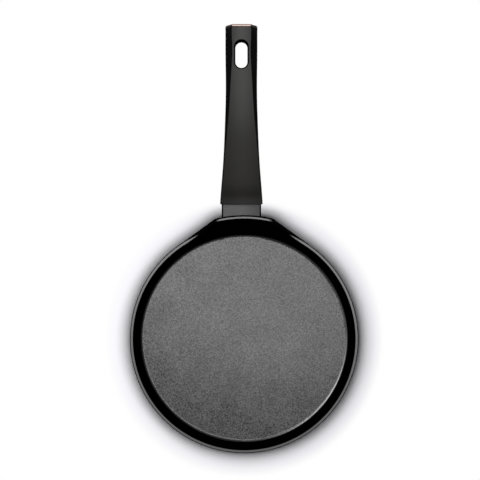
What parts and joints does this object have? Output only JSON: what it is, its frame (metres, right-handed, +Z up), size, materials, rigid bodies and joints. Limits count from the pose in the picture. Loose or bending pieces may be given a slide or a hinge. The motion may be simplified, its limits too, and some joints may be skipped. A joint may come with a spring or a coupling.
{
  "type": "crepe pan",
  "caption": "Shallow round pan with a low flared wall, a shoulder that carries a brushed sleeve, and a long faceted handle with a hanging slot.",
  "frame": {"origin": "centre of the underside, on the surface that the pan rests on and on the pan's axis", "axes": "+Z up out of the pan, +Y along the handle towards its tip, +X to the right"},
  "size_m": [0.246, 0.4592, 0.0649],
  "materials": {
    "pan_coating": "non-stick coating, matt and finely mottled",
    "disc_steel": "turned",
    "bracket_metal": "cast",
    "guard_steel": "brushed, dark",
    "grip_plastic": "soft matt",
    "rose_gold": "satin rose gold",
    "screw_steel": "zinc plated"
  },
  "bodies": {
    "root": {"pan_body": "pan_coating", "induction_disc": "disc_steel", "handle_bracket": "bracket_metal", "flame_guard": "guard_steel", "handle_grip": "grip_plastic", "end_cap": "rose_gold", "fixing_screw": "screw_steel", "flat_washer": "screw_steel", "lock_washer": "screw_steel"}
  },
  "joints": []
}
